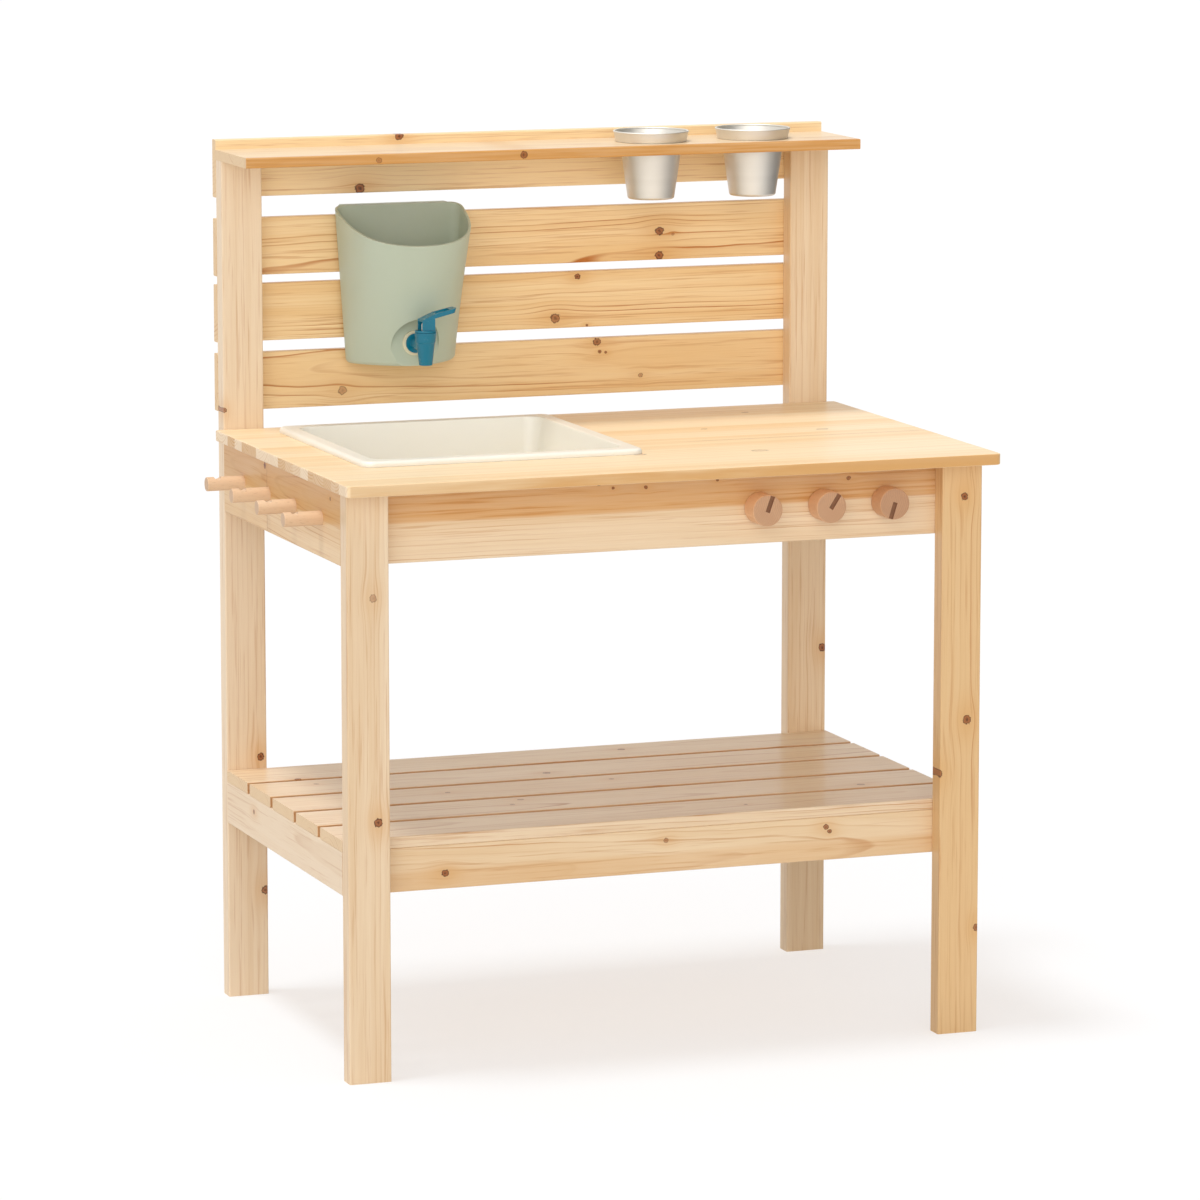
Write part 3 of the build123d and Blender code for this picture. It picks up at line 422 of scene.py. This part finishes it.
# Worktop of glued staves: each stave has its own ring centre and tone
def staveBoard(name, box):
    finish = Finish(name)
    grain = worktopLook["grain"]
    low, high = box
    at = x, y, z = finish.split(finish.place())
    facing = finish.split(finish.facing())
    sawn = finish.step(facing[0].size(), *turnedTo)
    stave = worktopLook["stave"] * mm
    count = (y - low[1]) / stave
    index = count.floor()
    inStave = (count.part() - 0.5) * stave
    first = finish.chance(index + 11.5)
    second = finish.chance(index + 37.5)
    drift = finish.grain(at, grain["drift"], index * 4.1) - 0.5
    ripple = finish.grain(at, grain["ripple"], index * 2.3) - 0.5
    ragged = finish.grain(at, pineLook["grain"]["ragged"], detail=1.0) - 0.5
    ringY = inStave + drift * 0.012 + ripple * 0.0014 - (first - 0.5) * 0.05
    plug, rim = 0.0, 0.0
    for knotX, knotY, radius, dark in worktopLook["knots"]:
        du = (x - knotX * mm) / (radius * mm)
        dv = (y - knotY * mm) / (radius * mm)
        reach = math.e ** ((du * du * 0.06 + dv * dv * 0.16) * -1.0)
        ringY = ringY - dv * reach * (radius * mm * 0.5)
        apart = (du * du * 0.35 + dv * dv) ** 0.5 + ragged * 0.5
        inside = 1.0 - finish.step(apart, 0.86, 1.06)
        plug = (inside * dark * 0.6).least(plug)
        rim = (finish.step(apart, 0.55, 0.9) * inside * dark).least(rim)
    ringZ = z - (low[2] + high[2]) / 2 - ((second - 0.5) * 0.05 + 0.03)
    rings = (ringY * ringY + ringZ * ringZ) ** 0.5 / (worktopLook["ring"] * mm)
    turn = rings.part()
    late = finish.step(turn, 0.35, 0.92) * (1.0 - finish.step(turn, 0.93, 1.0))
    late = late * (finish.chance(rings.floor() + index * 7.3) * 0.75 + 0.25)
    fibre = finish.grain(at, grain["fibre"], 0.0, 3.0, 0.6)
    hair = finish.grain(at, pineLook["grain"]["hair"], 0.0, 3.0, 0.65)
    streak = finish.grain((x, ringY, ringZ), grain["streak"], index * 3.3, 3.0, 0.6)
    tone = finish.step(streak, 0.32, 0.72) * 0.55 + (first - 0.5) * 0.5
    colour = finish.blend(tone.cap(1.0).least(0.0), worktopLook["pale"], worktopLook["honey"])
    colour = finish.blend(late * 0.26, colour, worktopLook["line"])
    fine = finish.step(hair, 0.52, 0.78) * 0.2 + (fibre - 0.5).size() * 0.25
    colour = finish.blend(fine, colour, worktopLook["line"])
    toSeam = (0.5 - (count.part() - 0.5).size()) * stave
    seam = 1.0 - finish.step(toSeam, 0.1 * mm, 0.6 * mm)
    gap = 1.0 - finish.step((y - worktopLook["darkSeam"] * mm).size(), 0.3 * mm, 0.9 * mm)
    gap = gap * finish.step(x, 0.08, 0.12)
    colour = finish.blend(seam * worktopLook["seam"], colour, worktopLook["line"])
    colour = finish.blend(gap * 0.7, colour, pineLook["knotCore"])
    colour = finish.blend(plug, colour, pineLook["knotCore"])
    colour = finish.blend(rim * 0.9, colour, pineLook["knotRim"])
    pores = finish.grain(at, pineLook["grain"]["pores"], detail=1.0)
    block = finish.chance(((y - low[1]) / (worktopLook["block"] * mm)).floor() + 3.5)
    dark = finish.step(block, 0.2, 0.9) * 0.6 + late * 0.45
    ends = finish.blend(dark, worktopLook["sawn"], worktopLook["line"])
    colour = finish.blend(sawn * 0.9, colour, ends)
    front = finish.step(facing[1] * -1.0, *turnedTo)
    patches = finish.grain((x, 0.5, z), (5.0, 1.0, 60.0), 0.0, 3.0, 0.6) + x * 0.25
    colour = finish.blend(front * finish.step(patches, 0.3, 0.65) * 0.7, colour, pineLook["heart"])
    height = fibre * 0.5 - late * 0.35 - pores * sawn - (seam + gap) * 0.8
    return finish.surface(
        Base_Color=colour,
        Roughness=fibre * 0.1 + sawn * 0.2 + pineLook["roughness"],
        Specular_IOR_Level=worktopLook["shine"],
        Coat_Weight=worktopLook["coat"],
        Coat_Roughness=pineLook["coatRoughness"],
        Normal=finish.bump(height, *pineLook["relief"]),
    )


dress("worktop", staveBoard("pine_worktop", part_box("worktop")))

beechLook = {
    "knob": {"pale": srgb(236, 190, 148), "deep": srgb(220, 168, 124), "end": srgb(172, 130, 98)},
    "peg": {"pale": srgb(234, 204, 170), "deep": srgb(222, 184, 146), "end": srgb(192, 160, 132)},
    "fleck": srgb(150, 98, 64),
    "burnt": srgb(104, 70, 44),
    "roughness": 0.5,
    "grain": {  # noise cells per metre along and across
        "lines": (9.0, 260.0, 260.0),
        "fleck": (160.0, 1500.0, 1500.0),
        "broad": (4.0, 55.0, 55.0),
    },
}


# Beech: fine lines along the grain with short flecks, arcs on the ends and a scorched pointer on the knobs
def beech(name, kind, along, middle, tone, seed, pointer=None):
    finish = Finish(name)
    look = beechLook[kind]
    grain = beechLook["grain"]
    places = finish.split(finish.place())
    facing = finish.split(finish.facing())
    order = {"x": (0, 1, 2), "y": (1, 0, 2), "z": (2, 0, 1)}[along]
    at = u, v, w = [places[i] - middle[i] for i in order]
    lines = finish.grain(at, grain["lines"], seed, 3.0, 0.6)
    fleck = finish.grain(at, grain["fleck"], seed, 1.0)
    broad = finish.grain(at, grain["broad"], seed)
    colour = finish.blend(finish.step(broad, 0.3, 0.75) * 0.6 + lines * 0.4, look["pale"], look["deep"])
    colour = finish.blend(tone, colour, beechLook["fleck"])
    colour = finish.blend(finish.step(fleck, 0.62, 0.75) * 0.3, colour, beechLook["fleck"])
    sawn = finish.step(facing[order[0]].size(), *turnedTo)
    arcs = ((v + 0.03) * (v + 0.03) + (w - 0.012) * (w - 0.012)) ** 0.5 * 480.0
    grain = finish.step((arcs + lines * 1.2).part(), 0.3, 1.0)
    ends = finish.blend(grain * 0.35 + lines * 0.3, look["end"], look["deep"])
    ends = finish.blend(tone, ends, beechLook["fleck"])
    colour = finish.blend(sawn * 0.8, colour, ends)
    roughness = lines * 0.12 + beechLook["roughness"]
    if pointer:
        turned = math.radians(pointer["angle"])
        px = v * math.cos(turned) + w * math.sin(turned)
        pz = w * math.cos(turned) - v * math.sin(turned)
        soft = 0.2 * mm
        deep = pointer["face"] + 1.2 * mm
        strip = 1.0 - finish.step(px.size(), pointer["width"] / 2 - soft, pointer["width"] / 2)
        strip = strip * finish.step(pz, pointer["low"] - soft, pointer["low"])
        strip = strip * (1.0 - finish.step(pz, pointer["high"], pointer["high"] + soft))
        strip = strip * (1.0 - finish.step(places[1], deep, deep + soft))
        scorch = finish.blend(lines, beechLook["burnt"], beechLook["fleck"])
        colour = finish.blend(strip, colour, scorch)
        roughness = roughness + strip * 0.15
    return finish.surface(Base_Color=colour, Roughness=roughness,
                          Normal=finish.bump(lines * 0.6 - fleck * 0.3, 0.2, 0.2 * mm))


# Pointer angle and darker tone of each knob
knobLook = {"left": (-20.0, 0.0), "middle": (-33.0, 0.04), "right": (-197.0, 0.22)}
for number, (side, (angle, tone)) in enumerate(knobLook.items()):
    low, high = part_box(f"knob_{side}")
    middle = (low + high) / 2
    pointer = {"angle": angle, "width": 5.2 * mm, "low": -1.7 * mm, "high": 15.8 * mm, "face": low[1]}
    dress(f"knob_{side}", beech(f"beech_knob_{side}", "knob", "y", middle, tone, 5.3 * number, pointer))
for number in range(1, 5):
    low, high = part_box(f"peg_{number}")
    dress(f"peg_{number}", beech(f"beech_peg_{number}", "peg", "x", (low + high) / 2, 0.0, 2.9 * number))
dowelFinish = beech("beech_dowels", "peg", "z", (0.0, 0.0, 0.0), 0.05, 1.0)
for name in ("frame_dowels", "slat_dowels", "worktop_dowels", "post_dowels"):
    dress(name, dowelFinish)
print("beech knobs, pegs and dowels dressed")


# Moulded plastic: a faint cloud and scuffs in the colour, fine grain in the gloss
def plastic(name, colour, shade, roughness, coat=0.0, milky=0.0, shine=0.5):
    finish = Finish(name)
    place = finish.place()
    cloud = finish.noise(place, 9.0, 3.0, 0.55)
    fine = finish.noise(place, 2600.0, 1.0)
    scuff = finish.noise(place, 60.0, 4.0, 0.65)
    shaded = finish.step(cloud, 0.3, 0.7) * 0.5 + finish.step(scuff, 0.55, 0.8) * 0.2
    return finish.surface(
        Base_Color=finish.blend(shaded, colour, shade),
        Roughness=fine * 0.06 + finish.step(scuff, 0.4, 0.8) * 0.08 + roughness,
        Coat_Weight=coat,
        Coat_Roughness=0.2,
        Specular_IOR_Level=shine,
        Subsurface_Weight=milky,
        Subsurface_Radius=(1.0, 1.0, 0.9),
        Subsurface_Scale=4.0 * mm,
        Normal=finish.bump(fine, 0.12, 0.1 * mm),
    )


sage = plastic("sage_plastic", srgb(190, 199, 180), srgb(183, 193, 172), 0.42, milky=0.4, shine=0.3)
teal = plastic("teal_plastic", srgb(4, 116, 142), srgb(2, 106, 132), 0.2, 0.15, shine=0.4)
cream = plastic("cream_plastic", srgb(246, 241, 228), srgb(243, 237, 223), 0.3, 0.15, 0.3)
white = plastic("white_plastic", srgb(232, 232, 226), srgb(222, 222, 216), 0.4)
gasketCream = plastic("gasket_rubber", srgb(232, 222, 190), srgb(222, 208, 172), 0.6)
sealBlack = plastic("seal_rubber", srgb(40, 40, 40), srgb(30, 30, 30), 0.7)
plastics = {
    "tank": sage, "sink": cream, "tap_gasket": gasketCream, "tap_seal": sealBlack,
    "tap_body": teal, "tap_cap": teal, "tap_lever": teal, "tap_pin": teal,
    "tap_stem": white, "tap_nut": white, "tap_inner_washer": white,
}
for name, material in plastics.items():
    dress(name, material)


# Spun metal: fine turning lines round an upright axis
def spunMetal(name, colour, shade, roughness, middle):
    finish = Finish(name)
    x, y, z = finish.split(finish.place())
    out = ((x - middle[0]) ** 2.0 + (y - middle[1]) ** 2.0) ** 0.5
    turned = finish.grain((z, out, 0.5), (2400.0, 2400.0, 1.0))
    broad = finish.grain((z, out, 0.5), (160.0, 160.0, 1.0))
    patch = finish.noise(finish.place(), 40.0, 3.0)
    mixed = finish.blend(broad * 0.5 + patch * 0.3, colour, shade)
    return finish.surface(Base_Color=mixed, Metallic=1.0, Roughness=turned * 0.16 + patch * 0.06 + roughness,
                          Normal=finish.bump(turned + broad * 0.5, 0.12, 0.1 * mm))


for side in ("left", "right"):
    low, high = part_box(f"cup_{side}")
    dress(f"cup_{side}", spunMetal(f"spun_cup_{side}", srgb(230, 226, 218), srgb(216, 211, 202), 0.4,
                                   (low + high) / 2))


# Zinc-plated steel with a fine mottled bloom
def plated(name, colour, shade):
    finish = Finish(name)
    place = finish.place()
    bloom = finish.noise(place, 700.0, 3.0, 0.6)
    fine = finish.noise(place, 3000.0, 1.0)
    return finish.surface(Base_Color=finish.blend(bloom, colour, shade), Metallic=1.0,
                          Roughness=bloom * 0.2 + fine * 0.08 + 0.22, Normal=finish.bump(fine, 0.1, 0.1 * mm))


zinc = plated("zinc_steel", srgb(206, 204, 198), srgb(176, 174, 166))
for name in nodes:
    if "screws" in name or "bolt" in name or "washers" in name or name == "tap_spring":
        dress(name, zinc)

low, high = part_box("tap_spring")
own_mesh(nodes["tap_spring"])
print("plastic and metal dressed")

studio = {
    "floorHalf": 45.0,
    "floorShade": (0.29, 0.34, 0.38),  # light that the floor loses in full shade, more of the blue
    "floorGlow": (0.70, 0.64, 0.60),
    "floorBounce": 0.8,
    "skyFill": 0.55,
    "suns": {  # degrees above the floor, to the left of straight in front and of spread, then power
        "top_sun": (77.0, 90.0, 12.0, 1.5),
        "front_sun": (8.0, 25.0, 65.0, 1.55),
    },
    "card": ((1.5, -1.6, 0.3), (1.5, 1.2, 2.2)),  # two corners of a dark card that only reflections show
}


def seen(finish):  # 1 for rays that show the background, straight or in a reflection
    node = finish.add("ShaderNodeLightPath").socket.node
    kinds = ("Is Camera Ray", "Is Glossy Ray", "Is Transmission Ray")
    straight, mirrored, through = [Wire(finish.tree, node.outputs[kind]) for kind in kinds]
    return straight.least(mirrored).least(through)


def paleFloor():
    finish = Finish("pale_floor")
    bounce = studio["floorBounce"]
    plain = finish.add("ShaderNodeBsdfDiffuse", None, {"Color": (bounce, bounce, bounce, 1.0)})
    shadowed = finish.add("ShaderNodeBsdfDiffuse", None, {"Color": (*studio["floorShade"], 1.0)})
    lit = finish.add("ShaderNodeEmission", None, {"Color": (*studio["floorGlow"], 1.0)})
    both = finish.add("ShaderNodeAddShader", None, {0: shadowed, 1: lit})
    mixed = finish.add("ShaderNodeMixShader", None, {0: seen(finish), 1: plain, 2: both})
    finish.add("ShaderNodeOutputMaterial", None, {"Surface": mixed})
    half = studio["floorHalf"]
    mesh = bpy.data.meshes.new("floor")
    corners = [(-half, -half, 0.0), (half, -half, 0.0), (half, half, 0.0), (-half, half, 0.0)]
    mesh.from_pydata(corners, [], [(0, 1, 2, 3)])
    mesh.materials.append(finish.material)
    floor = bpy.data.objects.new("floor", mesh)
    bpy.context.scene.collection.objects.link(floor)


def whiteSky():
    world = bpy.data.worlds.new("white_sky")
    bpy.context.scene.world = world
    world.use_nodes = True
    finish = Finish.__new__(Finish)
    finish.tree = world.node_tree
    finish.tree.nodes.clear()
    fill = studio["skyFill"]
    strength = seen(finish) * (1.0 - fill) + fill
    sky = finish.add("ShaderNodeBackground", None, {"Color": (1.0, 1.0, 1.0, 1.0), "Strength": strength})
    finish.add("ShaderNodeOutputWorld", None, {"Surface": sky})


def broadSun(name, height, side, spread, power):
    lamp = bpy.data.lights.new(name, "SUN")
    lamp.energy = power
    lamp.angle = math.radians(spread)
    sun = bpy.data.objects.new(name, lamp)
    sun.rotation_euler = (math.radians(90.0 - height), 0.0, math.radians(-side))
    bpy.context.scene.collection.objects.link(sun)


def darkCard():
    finish = Finish("dark_card")
    mottle = finish.noise(finish.place(), 3.0, 2.0) * 0.06 + 0.1
    finish.surface(Base_Color=finish.join(mottle, mottle, mottle), Roughness=0.8)
    (x, nearY, lowZ), (_, farY, highZ) = studio["card"]
    corners = [(x, nearY, lowZ), (x, nearY, highZ), (x, farY, highZ), (x, farY, lowZ)]
    mesh = bpy.data.meshes.new("dark_card")
    mesh.from_pydata(corners, [], [(0, 1, 2, 3)])
    mesh.materials.append(finish.material)
    card = bpy.data.objects.new("dark_card", mesh)
    bpy.context.scene.collection.objects.link(card)
    card.visible_camera = False
    card.visible_diffuse = False
    card.visible_shadow = False


paleFloor()
whiteSky()
darkCard()
for name, sun in studio["suns"].items():
    broadSun(name, *sun)

photoCamera = {
    "place": (-2.1633, -5.9469, 1.476),
    "yaw": 0.3517,  # turned to the right
    "pitch": 0.1604,  # turned down
    "lens": 180.48,
}


def lookAsPhoto():
    data = bpy.data.cameras.new("photo_camera")
    data.sensor_fit = "HORIZONTAL"
    data.sensor_width = 36.0
    data.lens = photoCamera["lens"]
    data.clip_end = 200.0
    camera = bpy.data.objects.new("photo_camera", data)
    camera.location = photoCamera["place"]
    camera.rotation_euler = (math.pi / 2 - photoCamera["pitch"], 0.0, -photoCamera["yaw"])
    bpy.context.scene.collection.objects.link(camera)
    bpy.context.scene.camera = camera


lookAsPhoto()
bpy.context.scene.view_settings.view_transform = "Standard"
print("studio and camera set")
